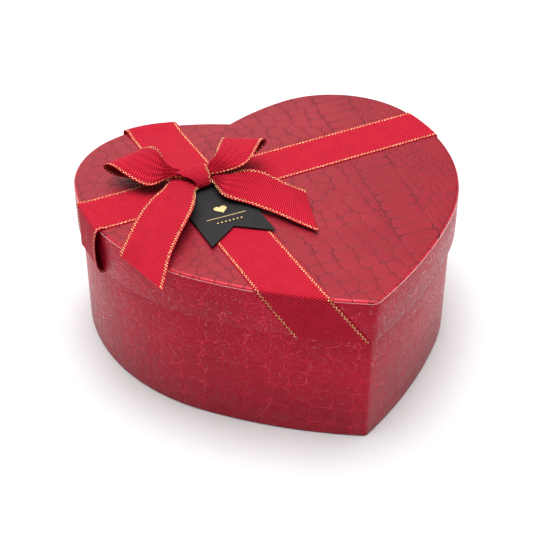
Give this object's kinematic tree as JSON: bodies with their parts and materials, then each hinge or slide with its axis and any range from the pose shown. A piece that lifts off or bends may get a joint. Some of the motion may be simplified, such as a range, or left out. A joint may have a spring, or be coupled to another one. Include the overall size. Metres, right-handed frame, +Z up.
{
  "type": "heart-shaped gift box",
  "caption": "Rigid heart-shaped paper gift box with a deep lift-off lid, two ribbon bands, a tied bow and a swallow-tail card tag that swivels under the knot.",
  "frame": {"origin": "middle of the heart's width and length on the underside that the box stands on", "axes": "+Z up, +Y towards the cleft, -Y towards the tip, +X to the right seen from the tip"},
  "size_m": [0.1919, 0.1827, 0.0966],
  "materials": {
    "greyboard": "plain grey set-up board",
    "embossed_paper": "red satin paper with an embossed scale grain",
    "foot_paper": "plain red paper",
    "lining_paper": "plain off-white paper",
    "ribbon": "red ribbed ribbon with a gold thread line along each edge",
    "tag_card": "matte black card"
  },
  "bodies": {
    "base": {"base_floor_board": "greyboard", "base_wall_left": "greyboard", "base_wall_right": "greyboard", "base_wrap": "embossed_paper", "base_foot_paper": "foot_paper", "base_wall_lining": "lining_paper", "base_floor_lining": "lining_paper"},
    "lid": {"lid_top_board": "greyboard", "lid_skirt_left": "greyboard", "lid_skirt_right": "greyboard", "lid_top_wrap": "embossed_paper", "lid_skirt_wrap": "embossed_paper", "lid_lining": "lining_paper", "ribbon_band_long": "ribbon", "ribbon_band_cross": "ribbon", "bow_loop_left": "ribbon", "bow_loop_right": "ribbon", "bow_tail_left": "ribbon", "bow_tail_right": "ribbon", "bow_knot": "ribbon", "bow_tack": "ribbon"},
    "tag": {"tag_card": "tag_card"}
  },
  "joints": [
    {"name": "lid_lift", "type": "slide", "parent": "base", "child": "lid", "axis": [0, 0, 1], "range_m": [0, 0.1]},
    {"name": "tag_swivel", "type": "hinge", "parent": "lid", "child": "tag", "pos_m": [-0.0364, 0.0261, 0.0816], "axis": [0, 0, 1], "range_deg": [-20, 20]}
  ]
}
